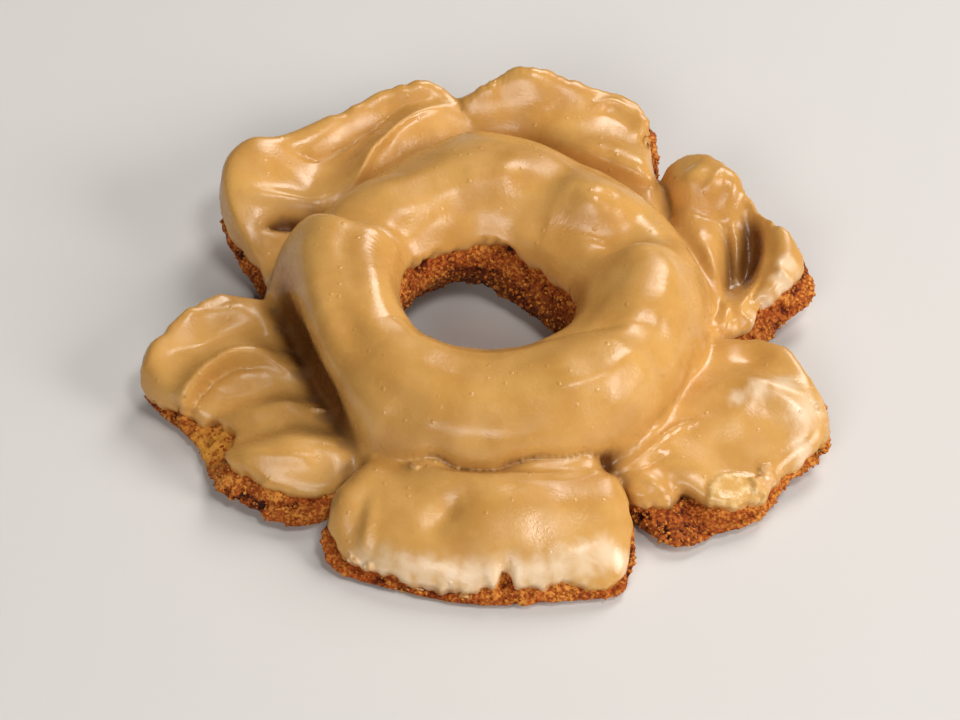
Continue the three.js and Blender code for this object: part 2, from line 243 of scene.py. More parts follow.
def icing_finish():
    """Glossy maple icing: deeper with painted shade where it pools in creases, and with a painted
    sheen where the softboxes reflect.
    """
    finish = Finish("maple icing")
    flake, disc = finish.attribute("flake"), finish.attribute("disc")
    blotches = finish.ease(finish.noise(7, detail=3), 0.3, 0.7)
    shade = finish.blend(blotches, MAPLE, PALE_MAPLE)
    sugar = finish.ease(finish.noise(1.1, detail=4), 0.55, 0.75, 0, 0.3)
    shade = finish.blend(sugar, shade, GRAINY_MAPLE)
    # painted shade: the icing darkens where narrow strokes press deep into creases
    pooled_and_shaded = finish.ease(finish.attribute("hollow"), 0.7, 2.2, 0, 0.92)
    shade = finish.blend(pooled_and_shaded, shade, POOLED_AND_SHADED)
    shade = finish.blend(finish.attribute("glaze") * 0.45, shade, GLAZED)
    # painted highlight: a pale sheen along the front petal's lower edge and on the right petals
    shade = finish.blend(finish.attribute("painted_sheen") * 0.75, shade, PAINTED_SHEEN)
    flaky = finish.blend(finish.ease(finish.cells(0.9), 0.15, 0.5), FLAKE_MIDDLE, FLAKE)
    shade = finish.blend(flake * 0.85, shade, flaky)
    amber = finish.blend(finish.ease(finish.noise(1.3, detail=3), 0.4, 0.65), AMBER, PALE_AMBER)
    shade = finish.blend(disc * 0.9, shade, amber)

    swell = finish.noise(2.6, detail=3) * 0.7
    pimples = finish.ease(finish.cells(2.6), 0.05, 0.15, 1, 0)
    grain = finish.noise(0.45, detail=3, roughness=0.6) * 0.5 + pimples * 0.9
    crumbled = flake * finish.cells(0.8) * 2 + disc * finish.noise(0.9) * 0.8
    relief = finish.bump(swell + grain + crumbled, 0.06)
    rough = finish.ease(finish.noise(4.2), 0.3, 0.7, 0.2, 0.36) + flake * 0.25
    return finish.surface(Base_Color=shade, Roughness=rough, Normal=relief)


def cake_finish(name, lighter):
    """Fried crumb: darker in its torn pits as painted shade, golden on its grains as painted light,
    and with painted shade low in the hole.
    """
    finish = Finish(name)
    specks = finish.ease(finish.noise(0.5, detail=3), 0.35, 0.65, -0.28, 0.28)
    height = finish.attribute("crag") + specks + lighter
    # painted shade in the crumb's pits and painted light on its tips, following its height
    shade = finish.blend(finish.ease(height, -0.7, -0.1), SHADED_PIT_CRUMB, CRUMB)
    shade = finish.blend(finish.ease(height, -0.15, 0.45), shade, LIT_CRUMB_TIPS)
    ruddy = finish.ease(finish.noise(5, detail=3), 0.4, 0.7, 0, 0.35)
    shade = finish.blend(ruddy, shade, RUDDY)
    shade = finish.blend(finish.attribute("golden") * 0.75, shade, GOLDEN)
    # painted shade low on the hole's wall, where little light reaches
    shade = finish.blend(finish.attribute("hole_shade") * 0.85, shade, HOLE_SHADE)
    relief = finish.bump(finish.noise(0.35, detail=4, roughness=0.7), 0.25)
    return finish.surface(Base_Color=shade, Roughness=0.75, Specular_IOR_Level=0.25, Normal=relief)


# --- Lines over the doughnut ----------------------------------------------------------------

LINE_STEP = 0.3 * MM  # how closely a line's points lie
STROKE_REACH = 3  # widths from its line at which a stroke has faded out
STEP_SOFTNESS = 0.6 * MM  # how far sideways a step takes to rise
NARROW = 2  # strokes under this width hold deeper icing, darkened with painted shade, where they run low


def polar(azimuth, radius):
    """The (x, y) place in metres of an azimuth and a radius round the hole."""
    angle = math.radians(azimuth)
    return HOLE + radius * MM * np.array([math.cos(angle), math.sin(angle)])


def line_points(path):
    """A smooth line through a path's (azimuth, radius, amount) stops: x, y and amount."""
    stops = np.array([[*polar(azimuth, radius), amount * MM] for azimuth, radius, amount in path])
    padded = np.vstack([2 * stops[0] - stops[1], stops, 2 * stops[-1] - stops[-2]])
    spans = []
    for a, b, c, d in zip(padded, padded[1:], padded[2:], padded[3:]):
        steps = max(2, round(np.hypot(*(c - b)[:2]) / LINE_STEP))
        t = np.arange(steps)[:, None] / steps
        spans.append(b + t * (c - a) / 2 + t**2 * (2 * a - 5 * b + 4 * c - d) / 2
                     + t**3 * (3 * b - a - 3 * c + d) / 2)
    return np.vstack([*spans, stops[-1:]])


def beside(line, points):
    """For each point: how far from the line, how far to its left, and the line's amount there."""
    ways = np.gradient(line[:, :2], axis=0)
    ways /= np.linalg.norm(ways, axis=1)[:, None]
    away = points[:, None, :2] - line[None, :, :2]
    distances = np.linalg.norm(away, axis=2)
    nearest = distances.argmin(1)
    rows = np.arange(len(points))
    offset = away[rows, nearest]
    way = ways[nearest]
    left = way[:, 0] * offset[:, 1] - way[:, 1] * offset[:, 0]
    return distances[rows, nearest], left, line[nearest, 2]


def stroke(shape, width, path, points):
    """How far one stroke lifts each point. A ridge is round, a crease sharp, and a step stands
    up along its line's left and falls away slowly from there."""
    rise = np.zeros(len(points))
    line = line_points(path)
    reach = STROKE_REACH * width * MM
    low, high = line[:, :2].min(0) - reach, line[:, :2].max(0) + reach
    close = np.flatnonzero(((points[:, :2] > low) & (points[:, :2] < high)).all(1))
    if len(close) == 0:
        return rise
    distance, left, amount = beside(line, points[close])
    far = distance / (width * MM)
    if shape == "crease":
        rise[close] = amount * np.exp(-far)
    elif shape == "ridge":
        rise[close] = amount * np.exp(-far**2)
    else:
        side = np.clip(left / STEP_SOFTNESS / 2 + 0.5, 0, 1)
        rise[close] = amount * np.exp(-far**2) * side * side * (3 - 2 * side)
    return rise


def strokes(points):
    """How far all strokes lift each point, and how deep in millimetres the narrow ones press it."""
    lift, hollow = np.zeros(len(points)), np.zeros(len(points))
    for shape, width, path in STROKES.values():
        rise = stroke(shape, width, path, points)
        lift += rise
        if width < NARROW:
            hollow -= np.minimum(rise, 0) / MM
    return lift, hollow


# Each stroke of the icing's surface: its shape, its width and its (azimuth, radius, rise) path.
STROKES = {
    # The back left petal.
    "back left flap": ("step", 2.4, [
        (131, 30.8, 0.3), (126, 31.4, 1), (122, 33.1, 1.3), (118, 35, 1.3), (114, 36.2, 1.2),
        (110, 37.9, 1), (105, 39.5, 0.8), (100, 40.5, 0.2)]),
    "back left flap's lip": ("ridge", 0.7, [
        (129, 31.6, 0.2), (124, 32.4, 0.5), (118, 35.4, 0.5), (110, 38.3, 0.5),
        (101, 40.9, 0.2)]),
    "back left crease": ("crease", 0.9, [
        (133, 43.7, -0.2), (129, 40.6, -0.9), (126, 39.8, -1.2), (121, 40, -1.3), (114, 41, -1.2),
        (108, 42.6, -0.9), (101, 42.6, -0.6), (97, 42, -0.2)]),
    "back left outer lobe": ("ridge", 1.8, [(130, 43, 0.4), (123, 42.9, 0.7), (116, 44, 0.5)]),
    "back left outer lobe's far part": ("ridge", 1.6, [
        (112, 44.8, 0.3), (106, 45, 0.6), (101, 45, 0.3)]),
    "back left front rim": ("ridge", 1.2, [
        (146, 42, 0.3), (144, 40.3, 0.7), (141, 37.9, 0.7), (139, 35.9, 0.6), (137, 32.9, 0.4)]),
    "back left slot": ("crease", 1, [
        (150, 38, -0.6), (146.5, 36.2, -2.6), (143, 34.2, -3.4), (139.5, 31.8, -2.6),
        (137, 30, -0.6)]),
    "back left rim": ("ridge", 2.2, [(110, 44.4, 0.6), (104, 44.8, 1.2), (100, 44.6, 0.8)]),
    # The back right petal.
    "back right valley": ("crease", 1.4, [
        (101, 35.8, -0.4), (96, 36.9, -1), (90, 37.2, -1.2), (83, 36.9, -1.2), (76, 35.2, -1.1),
        (69, 33.2, -0.6)]),
    "back right shelf": ("step", 2.8, [
        (74, 35.4, 0.2), (69, 34.1, 0.8), (65, 33.9, 1.1), (60, 34.1, 1.3), (55, 34.6, 1.3),
        (50, 35.7, 0.9), (48, 37.5, 0.2)]),
    "back right lump": ("ridge", 1.2, [(94.5, 42, 0.7), (92, 42.5, 1.1), (89.5, 42.6, 0.8)]),
    "back right notch": ("crease", 0.8, [(96, 43.5, -0.6), (95.5, 41, -1), (94, 39.6, -0.5)]),
    "back right wrinkle": ("ridge", 0.7, [
        (69, 42.8, 0.2), (68, 44.2, 0.5), (66, 45.6, 0.5), (63, 45.6, 0.2)]),
    "back right hollow": ("ridge", 1.4, [(66, 43.2, -0.4), (62, 43, -0.5), (59, 42, -0.2)]),
    "back right rim": ("ridge", 2.6, [
        (90, 43.6, 0.6), (84, 44.6, 1.8), (80, 44.8, 1.8), (73, 45, 0.9)]),
    # The right petal.
    "right slit": ("crease", 0.9, [
        (52, 40.6, -1.2), (50, 39.2, -1.8), (46.5, 37.6, -1.9), (43, 36, -1.6), (39, 34, -0.8)]),
    "right knob": ("ridge", 2.4, [
        (48, 41, 0.8), (43.5, 39, 1.6), (40.5, 40.3, 1.6), (38, 42.5, 0.8)]),
    "right knob's ridge": ("ridge", 0.9, [(37, 39.2, 0.3), (37, 41.2, 0.8), (38.5, 43, 0.4)]),
    "right knob's second ridge": ("ridge", 1, [(33, 41, 0.3), (34, 42.6, 0.7), (36, 44, 0.4)]),
    "right knob's foot": ("crease", 0.8, [
        (41, 36.5, -0.3), (36, 37.2, -0.6), (33, 38.8, -0.6), (31, 41, -0.4)]),
    "right inner bump": ("ridge", 1.3, [
        (31, 35.6, 0.3), (25, 35.2, 0.8), (19, 34.6, 0.8), (14, 33.6, 0.3)]),
    "right crease": ("ridge", 1, [
        (32, 39.6, -0.4), (28, 38.9, -1.3), (23, 37.6, -1.6), (18, 36.4, -1.2),
        (14, 35.4, -0.3)]),
    "right second bump": ("ridge", 0.9, [
        (30, 40.7, 0.3), (26, 39.8, 0.6), (20, 37.6, 0.5), (16, 36.6, 0.2)]),
    "right bowl": ("ridge", 1.9, [
        (31, 43, -0.8), (27, 42.4, -2.4), (22, 40.6, -3), (17.5, 38.6, -1.4)]),
    "right roll": ("step", 2.2, [
        (5, 35.9, 0.3), (9, 37.4, 0.7), (13, 39.6, 0.9), (17, 41.6, 1), (22, 43.4, 0.8),
        (28, 44.4, 0.3)]),
    "right roll's ridge": ("ridge", 0.6, [(16, 42.6, 0.3), (13, 42.8, 0.7), (11.5, 44, 0.4)]),
    "right tongue": ("ridge", 0.9, [(7, 36, 0.3), (5, 36.8, 0.6), (4, 38, 0.5)]),
    "right tongue's side": ("crease", 0.6, [(10, 37.6, -0.3), (8.5, 39, -0.7), (8, 40.6, -0.3)]),
    "right glazed crack": ("crease", 0.6, [
        (12, 33.6, -0.2), (8, 33.2, -0.6), (3, 32, -0.8), (357, 31.2, -0.5)]),
    "right glazed ridge": ("ridge", 0.5, [(9, 34.4, 0.2), (5, 33.8, 0.5), (2, 33.2, 0.3)]),
    # The front right petal.
    "front right crease": ("crease", 0.7, [
        (302, 32.2, -2), (305, 32, -1.7), (311, 31.8, -1.1), (318, 31.2, -1.1), (326, 30.9, -1.3),
        (334, 30.8, -1.3), (341, 30.6, -1.1), (346, 30.3, -0.4)]),
    "front right thread": ("ridge", 0.55, [
        (306, 32.7, 0.2), (313, 32.4, 0.5), (319, 32.3, 0.6), (324, 33, 0.5), (329, 34.9, 0.2)]),
    "front right streak": ("ridge", 2.3, [
        (328, 36, 0.2), (332, 37.8, 0.5), (336, 39.2, 0.7), (340, 40.2, 0.9), (341, 43.3, 0.8),
        (340, 46.3, 0.6), (338, 49, 0.3)]),
    "front right hollow": ("ridge", 2, [(346, 36, -0.4), (350, 38, -0.6), (347, 41.5, -0.4)]),
    "front right groove": ("crease", 0.8, [
        (304, 33, -0.8), (308, 33.9, -1), (312, 34.2, -0.9), (316, 34.9, -0.4)]),
    "front right lump": ("ridge", 1.2, [(308, 34.9, 0.5), (309, 36.6, 0.8), (310, 38.4, 0.4)]),
    "front right pit": ("ridge", 1, [(312, 38.6, -0.6), (312.5, 40.5, -1.8), (313, 42.4, -1)]),
    # The front petal.
    "front crease": ("crease", 0.45, [
        (245, 30.6, -0.2), (250, 30, -1), (256, 29.8, -1.8), (262, 30.4, -2), (270, 30.6, -1.8),
        (276, 30.3, -2), (283, 30.3, -1.9), (290, 30.8, -1.5), (297, 31.2, -1.6),
        (303, 32.2, -1.4)]),
    "front shoulder": ("ridge", 1.6, [
        (252, 32.4, 0.2), (262, 32.4, 0.5), (275, 32.6, 0.5), (286, 33, 0.2)]),
    "front dimple": ("ridge", 1.7, [(264, 35, -0.4), (261.5, 36.4, -1), (259.5, 38, -0.6)]),
    "front lower left swell": ("ridge", 1.8, [(247, 41, 0.2), (253, 41.6, 0.5), (260, 42, 0.3)]),
    "front lower right swell": ("ridge", 2, [(277, 42.6, 0.3), (285, 43, 0.5), (293, 43.2, 0.4)]),
    "front left fold": ("ridge", 0.8, [(245, 37.5, 0.2), (246, 40, 0.5), (246.5, 42, 0.4)]),
    "front left furrow": ("crease", 0.9, [(243, 37, -0.2), (243.5, 39.6, -0.5), (244, 42, -0.3)]),
    "front hole's rim": ("ridge", 0.8, [(270.8, 43, 0.2), (271, 44.6, 0.4)]),
    "front crease's lip": ("ridge", 0.6, [
        (253, 30.9, 0.2), (262, 31.1, 0.5), (270, 31.1, 0.4), (285, 31.6, 0.5),
        (298, 32.2, 0.3)]),
    "front torn hole": ("ridge", 0.8, [(273, 42.8, -0.4), (273, 44, -1.3), (273, 45.2, -1)]),
    # The left petal.
    "left valley": ("ridge", 1.3, [
        (186, 46, -0.3), (185, 44.3, -0.5), (184, 40.8, -0.7), (181, 37.7, -0.8),
        (179, 35.2, -0.6), (177, 32.1, -0.2)]),
    "left upper fold": ("ridge", 1.2, [(178, 42.5, 0.2), (177, 39, 0.5), (174, 35.6, 0.4)]),
    "left ridge": ("ridge", 1, [
        (195, 44.9, 0.3), (193, 42.3, 0.6), (191, 39.8, 0.7), (189, 36.1, 0.7), (189, 32.5, 0.5),
        (190, 29.7, 0.1)]),
    "left step": ("step", 2, [
        (198, 45, 0.9), (196, 43.2, 1.8), (194, 41.4, 2), (192.5, 39.2, 2), (191.5, 36.3, 1.7),
        (192, 32.9, 1.2), (195, 29.9, 0.6), (199, 28.4, 0.1)]),
    "left step's seam": ("crease", 0.5, [
        (198, 44.8, -0.8), (196.3, 43, -1.1), (194.8, 41.2, -1.2), (193.3, 39, -1.1),
        (192.4, 36.3, -0.9), (193, 32.5, -0.5)]),
    "left first lobe": ("ridge", 1.4, [(195.5, 39.6, 0.2), (195, 36.4, 0.5), (195, 33.4, 0.3)]),
    "left small ridge": ("ridge", 0.9, [
        (203, 37.5, 0.2), (205, 35, 0.4), (206.5, 32.4, 0.4), (208, 29.6, 0.1)]),
    "left dip": ("ridge", 1.3, [
        (205, 39.5, -0.3), (207, 37.2, -0.6), (210, 33.8, -0.6), (214, 30.6, -0.2)]),
    "left second lobe": ("ridge", 1.2, [(203, 38, 0.3), (206.5, 36, 0.6), (210, 34.4, 0.5)]),
    "left crack": ("ridge", 1.6, [
        (162, 33.5, -0.3), (168, 31.6, -0.9), (176, 29.4, -1.3), (186, 28, -1.5),
        (197, 27.4, -1.5), (207, 27.4, -1.5), (215, 27.7, -1.3), (224, 28.9, -0.9),
        (231, 30.4, -0.8), (235, 32.4, -0.6), (237, 35.5, -0.4)]),
    "left crack's wall": ("ridge", 2.2, [
        (170, 28.4, 0.4), (180, 26, 1), (195, 24.9, 1.2), (210, 25, 1.1), (224, 26.2, 0.9),
        (236, 28, 0.5)]),
    "left lower lobe's ridge": ("ridge", 1.1, [
        (212, 43.4, 0.3), (215, 41.4, 0.7), (220, 38.6, 0.8), (225, 35.6, 0.6)]),
    "left lower lobe's corner": ("ridge", 1.2, [(210.5, 42.6, 0.4), (213.5, 43.8, 0.7)]),
    "left upper knobs": ("ridge", 1.2, [(187, 48.4, 0.4), (184.4, 46.8, 1.1), (182, 44.8, 0.3)]),
    "left upper second knob": ("ridge", 1.2, [(180.5, 44.6, 0.8), (178, 42, 0.9)]),
    "left upper third knob": ("ridge", 1.3, [(175, 40.8, 0.7), (172, 38.6, 0.6)]),
    "left tip": ("ridge", 2.6, [(192, 48.6, 0.5), (188, 49.6, 1), (184.5, 47.4, 0.8)]),
    "left crack's line": ("ridge", 0.9, [
        (166, 32.3, -0.4), (170, 31, -0.9), (176, 29.4, -1.2), (186, 28, -1.3), (197, 27.4, -1.3),
        (207, 27.4, -1.3), (215, 27.7, -1.2), (224, 28.9, -0.9), (231, 30.4, -0.7),
        (235, 32.4, -0.5)]),
    # The crown.
    "crown's left fold": ("step", 3.4, [
        (150, 14, 0.3), (147, 16.2, 1), (147.5, 18.8, 1.4), (151, 21.6, 1.5), (152, 24.8, 1.5),
        (150, 28.5, 1.2), (146, 32, 0.6)]),
    "crown's left fold's seam": ("crease", 0.6, [
        (148, 15.5, -0.2), (147, 18.7, -0.6), (151, 21.5, -0.7), (152, 25, -0.8),
        (150, 28.5, -0.7), (146, 32, -0.4)]),
    "crown's left hollow": ("ridge", 2.6, [(147, 27, -0.6), (143, 22, -1.2), (139, 17, -0.9)]),
    "crown's left crest": ("ridge", 3, [
        (150, 22, -0.3), (165, 21.5, -0.7), (180, 20.5, -0.7), (195, 19.5, -0.3)]),
    "crown's left dent": ("ridge", 3, [(196, 22, -0.3), (208, 22.4, -0.8), (219, 23, -0.4)]),
    "crown's front swell": ("ridge", 3, [
        (284, 24, 0.2), (296, 24.6, 0.5), (309, 26, 0.7), (318, 26, 0.4)]),
    "crown's front groove": ("crease", 1.6, [
        (304, 13, -0.3), (318, 15.8, -0.8), (330, 20, -0.7), (337, 24.4, -0.3)]),
    "crown's right valley": ("ridge", 2.8, [
        (57, 15.2, -0.5), (46, 16.2, -1.2), (34, 18.2, -1.7), (26, 21.6, -1.7), (22, 26, -1.1),
        (23, 29, -0.5)]),
    "crown's right lump": ("ridge", 3.8, [(9, 23, 0.6), (0, 23.4, 1.1), (352, 22.5, 0.6)]),
    "crown's back right lump": ("ridge", 3.2, [(54, 21, 0.4), (46, 21.8, 1), (41, 23, 0.5)]),
    "crown's back lump": ("ridge", 1.8, [(95, 20.6, 0.3), (84, 21, 0.4)]),
    "hole's lip": ("ridge", 0.9, [
        (104, 13.5, 0.2), (88, 13.3, 0.6), (66, 13, 0.8), (46, 12.6, 0.6), (30, 12.4, 0.2)]),
    "crown's left shoulder": ("ridge", 3, [
        (154, 16.6, 0.5), (166, 16.4, 1.3), (180, 16, 1.7), (195, 15.4, 1.3), (212, 14.8, 0.4)]),
}


# --- Marks on the icing ---------------------------------------------------------------------

# How far each kind of mark stands out of the icing, how ragged and how soft its outline is, and
# its (azimuth, radius, size) places.
MARKS = {
    "disc": (0.45, 0.16, 0.1, [(319.4, 45, 3.5), (317.2, 46, 2.4)]),
    "flake": (0.5, 0.5, 0.3, [
        (324, 45.8, 1.2), (326, 46.6, 1), (327, 45.4, 0.8), (322.6, 47.4, 0.8), (245.4, 43.2, 1.1),
        (248.6, 43.5, 1), (251.4, 43.9, 0.8), (341.5, 47.8, 0.5), (212, 27.7, 0.45),
        (211, 28.3, 0.35), (251, 30.1, 0.6), (249.8, 29.8, 0.4)]),
    "glaze": (0, 0.4, 0.8, [
        (170, 31, 1), (177, 29.6, 1.2), (186, 28.3, 1.2), (196, 27.6, 1.2), (206, 27.6, 1.2),
        (215, 27.9, 1.2), (223, 28.9, 1.3), (229, 30, 1.3), (234, 32, 1.3), (236.5, 35, 1.4),
        (237.5, 38, 1.5), (303.5, 33, 1.2), (311, 39, 1.3), (140, 33, 1.5), (145, 36, 1.4)]),
    # painted sheen: pale patches where the icing reflects the softboxes
    "painted_sheen": (0, 0.35, 1, [
        *((azimuth, 43, 2.5) for azimuth in range(247, 294, 4)), (293, 44, 1.8), (340, 46.5, 3),
        (343.5, 43, 2.6), (340, 40, 2.2), (337, 37.5, 1.6), (334, 48, 2), (12, 42.6, 2),
        (15, 44, 1.8), (9, 40, 1.6), (6, 37.6, 1.2)]),
}
MARK_REACH = 1.8  # a mark's sizes from its middle at which it has surely ended
MARK_EDGE = 1.15  # a mark's sizes from its middle at which its outline lies
MARK_RAGS = 0.9 * MM  # how long the rags of its outline are


def smoothstep(value, low, high):
    t = np.clip((value - low) / (high - low), 0, 1)
    return t * t * (3 - 2 * t)


def mark(name, points):
    """How strongly each point carries one kind of mark, from 0 to 1."""
    found = np.zeros(len(points))
    _, ragged, softness, spots = MARKS[name]
    for azimuth, radius, size in spots:
        away = np.hypot(*(points[:, :2] - polar(azimuth, radius)).T) / (size * MM)
        for i in np.flatnonzero(away < MARK_REACH):
            reach = away[i] + ragged * noise.noise(Vector(points[i]) / MARK_RAGS)
            found[i] = max(found[i], smoothstep(MARK_EDGE - reach, 0, softness))
    return found


def raised(marks):
    """How far the marks, given as {name: strengths}, stand out of the icing in millimetres."""
    return sum(MARKS[name][0] * strength for name, strength in marks.items())


# --- Meshes and what they store -------------------------------------------------------------

MERGE_DISTANCE = 1e-7  # the solids' loose triangles share corners that are closer than this


def numbers(mesh, source, field, width):
    """One number, or one vector, for each of a mesh's vertices."""
    found = np.empty(len(mesh.vertices) * width)
    source.foreach_get(field, found)
    return found.reshape(-1, width) if width > 1 else found


def places(mesh):
    return numbers(mesh, mesh.vertices, "co", 3)


def normals(mesh):
    return numbers(mesh, mesh.vertex_normals, "vector", 3)


def stored_numbers(mesh, name):
    return numbers(mesh, mesh.attributes[name].data, "value", 1)


def stored_vectors(mesh, name):
    return numbers(mesh, mesh.attributes[name].data, "vector", 3)


def store(mesh, name, values):
    """Stores one number, or one vector, for each of a mesh's vertices."""
    kind, field = ("FLOAT", "value") if values.ndim == 1 else ("FLOAT_VECTOR", "vector")
    layer = mesh.attributes.new(name, kind, "POINT")
    layer.data.foreach_set(field, values.astype(np.float32).ravel())


def new_mesh(name, bm):
    mesh = bpy.data.meshes.new(name)
    bm.to_mesh(mesh)
    bm.free()
    return mesh


def node_bmesh(node):
    """A merged copy of a solid's surface in four-sided faces."""
    bm = bmesh.new()
    bm.from_mesh(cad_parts[node].data)
    bmesh.ops.remove_doubles(bm, verts=bm.verts, dist=MERGE_DISTANCE)
    bmesh.ops.join_triangles(bm, faces=bm.faces, angle_face_threshold=math.pi,
                             angle_shape_threshold=math.pi)
    return bm


def subdivided(mesh, levels):
    """The mesh with its faces split smoothly, as a new mesh."""
    rough = bpy.data.objects.new("rough", mesh)
    bpy.context.scene.collection.objects.link(rough)
    smoother = rough.modifiers.new("smoother", "SUBSURF")
    smoother.levels = smoother.render_levels = levels
    graph = bpy.context.evaluated_depsgraph_get()
    fine = bpy.data.meshes.new_from_object(rough.evaluated_get(graph))
    bpy.data.objects.remove(rough)
    return fine


# --- The skin that every piece is made from -------------------------------------------------

ICING_DEPTH = 1.5  # how far the icing's outside lies from the cake
ICING_GAP = 0.3  # of that, the air between the two solids
GAP_SLACK = 0.05
COVERED = 0.999  # the share of cover from which a vertex counts as iced

SMOOTH_LEVELS = 2
FINER_ROUNDS = 2
ROUGH_EDGE = 3.2 * MM  # the longest edge that the icing is smoothed from
FINE_EDGE = 0.38 * MM  # the longest mesh edge on bare sides, by the icing's edge and where steep
UNDERSIDE = 1.2 * MM  # lower than this, the cake's mesh stays coarse
STEEP = 0.24 * MM  # how much more one end of a mesh edge may be lifted than the other


def add_coats(bm):
    """Stores on each of the cake's vertices the way to the icing's outside, or nothing if bare."""
    icing = node_bmesh("maple_icing")
    inside = KDTree(len(icing.verts))
    for vert in icing.verts:
        inside.insert(vert.co, vert.index)
    inside.balance()
    coat = bm.verts.layers.float_vector.new("coat")
    for vert in bm.verts:
        place, _, distance = inside.find(vert.co)
        if abs(distance - ICING_GAP * MM) < GAP_SLACK * MM:
            vert[coat] = (place - vert.co) * ICING_DEPTH / ICING_GAP
        elif distance < 2 * ICING_GAP * MM:
            vert[coat] = vert.normal * ICING_DEPTH * MM
    icing.free()
    return coat


def edge_distance(mesh):
    """How far each vertex lies inside the icing's edge, or outside it where that is negative."""
    covered = stored_numbers(mesh, "cover") > COVERED
    pairs = np.array([edge.vertices[:] for edge in mesh.edges])
    crossing = covered[pairs].sum(1) == 1
    line = np.unique(pairs[crossing][covered[pairs[crossing]]])
    where = places(mesh)
    tree = KDTree(len(line))
    for i in line:
        tree.insert(where[i], i)
    tree.balance()
    away = np.array([tree.find(place)[2] for place in where])
    return np.where(covered, away, -away)


def finer(mesh):
    """The mesh with its long edges split on bare sides, by the icing's edge and where it is steep."""
    distance = edge_distance(mesh)
    where = places(mesh)
    lift, _ = strokes(where + stored_vectors(mesh, "coat"))
    lift += MM * raised({name: mark(name, where) for name in MARKS if MARKS[name][0]})
    bm = bmesh.new()
    bm.from_mesh(mesh)
    chosen = []
    for edge in bm.edges:
        a, b = edge.verts
        outermost = min(distance[a.index], distance[b.index])
        steep = outermost > 0 and abs(lift[a.index] - lift[b.index]) > STEEP
        shown = outermost < ICING_DEPTH * MM or steep
        if shown and max(a.co.z, b.co.z) > UNDERSIDE and edge.calc_length() > FINE_EDGE:
            chosen.append(edge)
    bmesh.ops.subdivide_edges(bm, edges=chosen, cuts=1, use_grid_fill=True)
    return new_mesh("finer", bm)


def make_skin():
    """The cake's whole surface as a fine mesh that carries the icing's coat and its edge."""
    bm = node_bmesh("cake")
    coat = add_coats(bm)
    long = [edge for edge in bm.edges if edge.calc_length() > ROUGH_EDGE
            and all(vert[coat].length for vert in edge.verts)]
    bmesh.ops.subdivide_edges(bm, edges=long, cuts=1, use_grid_fill=True)
    bare = new_mesh("bare", bm)
    coats = stored_vectors(bare, "coat")
    iced = bare.copy()
    iced.vertices.foreach_set("co", (places(bare) + coats).ravel())
    store(bare, "cover", (coats != 0).any(1).astype(float))
    bare.attributes.remove(bare.attributes["coat"])
    fine = subdivided(bare, SMOOTH_LEVELS)
    store(fine, "coat", places(subdivided(iced, SMOOTH_LEVELS)) - places(fine))
    for _ in range(FINER_ROUNDS):
        fine = finer(fine)
    return fine


# --- The skin's finished shape --------------------------------------------------------------

# Layers of noise: the size of the lumps, their height and a shift that keeps layers apart.
SWELLS = [(9, 0.4, (0, 0, 0)), (3.6, 0.14, (0, 0, 0))]
EDGE_WAVES = [(3.1, 0.9, (5, 9, 2)), (1.2, 0.45, (0, 0, 0))]

LUMP_SIZE, LUMP_HEIGHT = 4.5, 0.45
PIT_SIZE, PIT_DEPTH, PIT_SHIFT = 1.9, 1.7, Vector((31, 7, 3))
PIT_START = 0.22  # noise above this tears a pit
CLOD_SIZE, CLOD_HEIGHT = 1.25, 0.45
GRAIN_SIZE, GRAIN_HEIGHT = 0.6, 0.22
CELL_LEVEL = 0.45  # how far from its middle a clod or a grain meets the crumb's even level

EDGE_ROUND = 1.3 * MM  # how far in from its edge the icing reaches its full depth
EDGE_SUNK = 0.35 * MM  # how deep in the cake the icing ends
MARK_MARGIN = 0.6 * MM  # how far in from the icing's edge a mark stands at its full height
BACK_DEPTH = 0.6  # how deep in the cake the icing's hidden inside lies
CRUMB_RANGE = (-0.2 * MM, 0.9 * MM)  # distances inside the icing's edge over which the crumb ends
FOOT_RANGE = (0.1 * MM, 1 * MM)  # heights over which the crumb begins above the flat base
NO_COAT = 1e-6  # a coat shorter than this has no direction of its own

TOP = cad_bounds[1][2]
TOP_SOFTNESS = 1.5 * MM  # the crown's highest lumps are eased down to stay under the top

# Places where the icing stops short (positive) or runs down further: (azimuth, radius, size, by).
EDGE_SPOTS = [
    (273, 43.3, 0.7, 5),  # the torn hole in the front petal
    (273, 44.2, 0.8, 4.5),
    (273, 45.1, 0.7, 3),
    (342, 50, 4, -0.8),  # the front right petal's far side, iced right down
    (331, 48.5, 3, -0.6),
    (298, 43, 1.6, 1),  # the front petal's torn right side
    (293, 47, 1, 1.2),
]
SPOT_REACH = 3  # a spot's sizes from its middle at which it has faded out

HOLE_SHADE_RADII = (16 * MM, 19 * MM)  # the hole's wall, which takes painted shade low down
HOLE_SHADE_HEIGHTS = (1 * MM, 11 * MM)
GOLDEN_PLACE, GOLDEN_SIZE = (204, 42.5), 4  # the left petal's bare side, fried paler


def layered(place, layers):
    """The sum of noise layers at a place, in millimetres."""
    p = place / MM
    return sum(height * noise.noise(p / size + Vector(shift)) for size, height, shift in layers)


def crumb_height(place):
    """The crumb's height in millimetres at a place: lumps, torn pits, clods and fine grains."""
    p = place / MM
    lumps = noise.noise(p / LUMP_SIZE)
    pits = max(0.0, noise.noise(p / PIT_SIZE + PIT_SHIFT) - PIT_START)
    clods = CELL_LEVEL - noise.voronoi(p / CLOD_SIZE)[0][0]
    grains = CELL_LEVEL - noise.voronoi(p / GRAIN_SIZE)[0][0]
    return LUMP_HEIGHT * lumps - PIT_DEPTH * pits + CLOD_HEIGHT * clods + GRAIN_HEIGHT * grains


def edge_wobble(place):
    """How far the icing stops short of its even edge at a place, in metres."""
    wobble = layered(place, EDGE_WAVES)
    for azimuth, radius, size, by in EDGE_SPOTS:
        x, y = polar(azimuth, radius)
        distance = math.hypot(place.x - x, place.y - y) / (size * MM)
        if distance < SPOT_REACH:
            wobble += by * math.exp(-distance**2)
    return wobble * MM


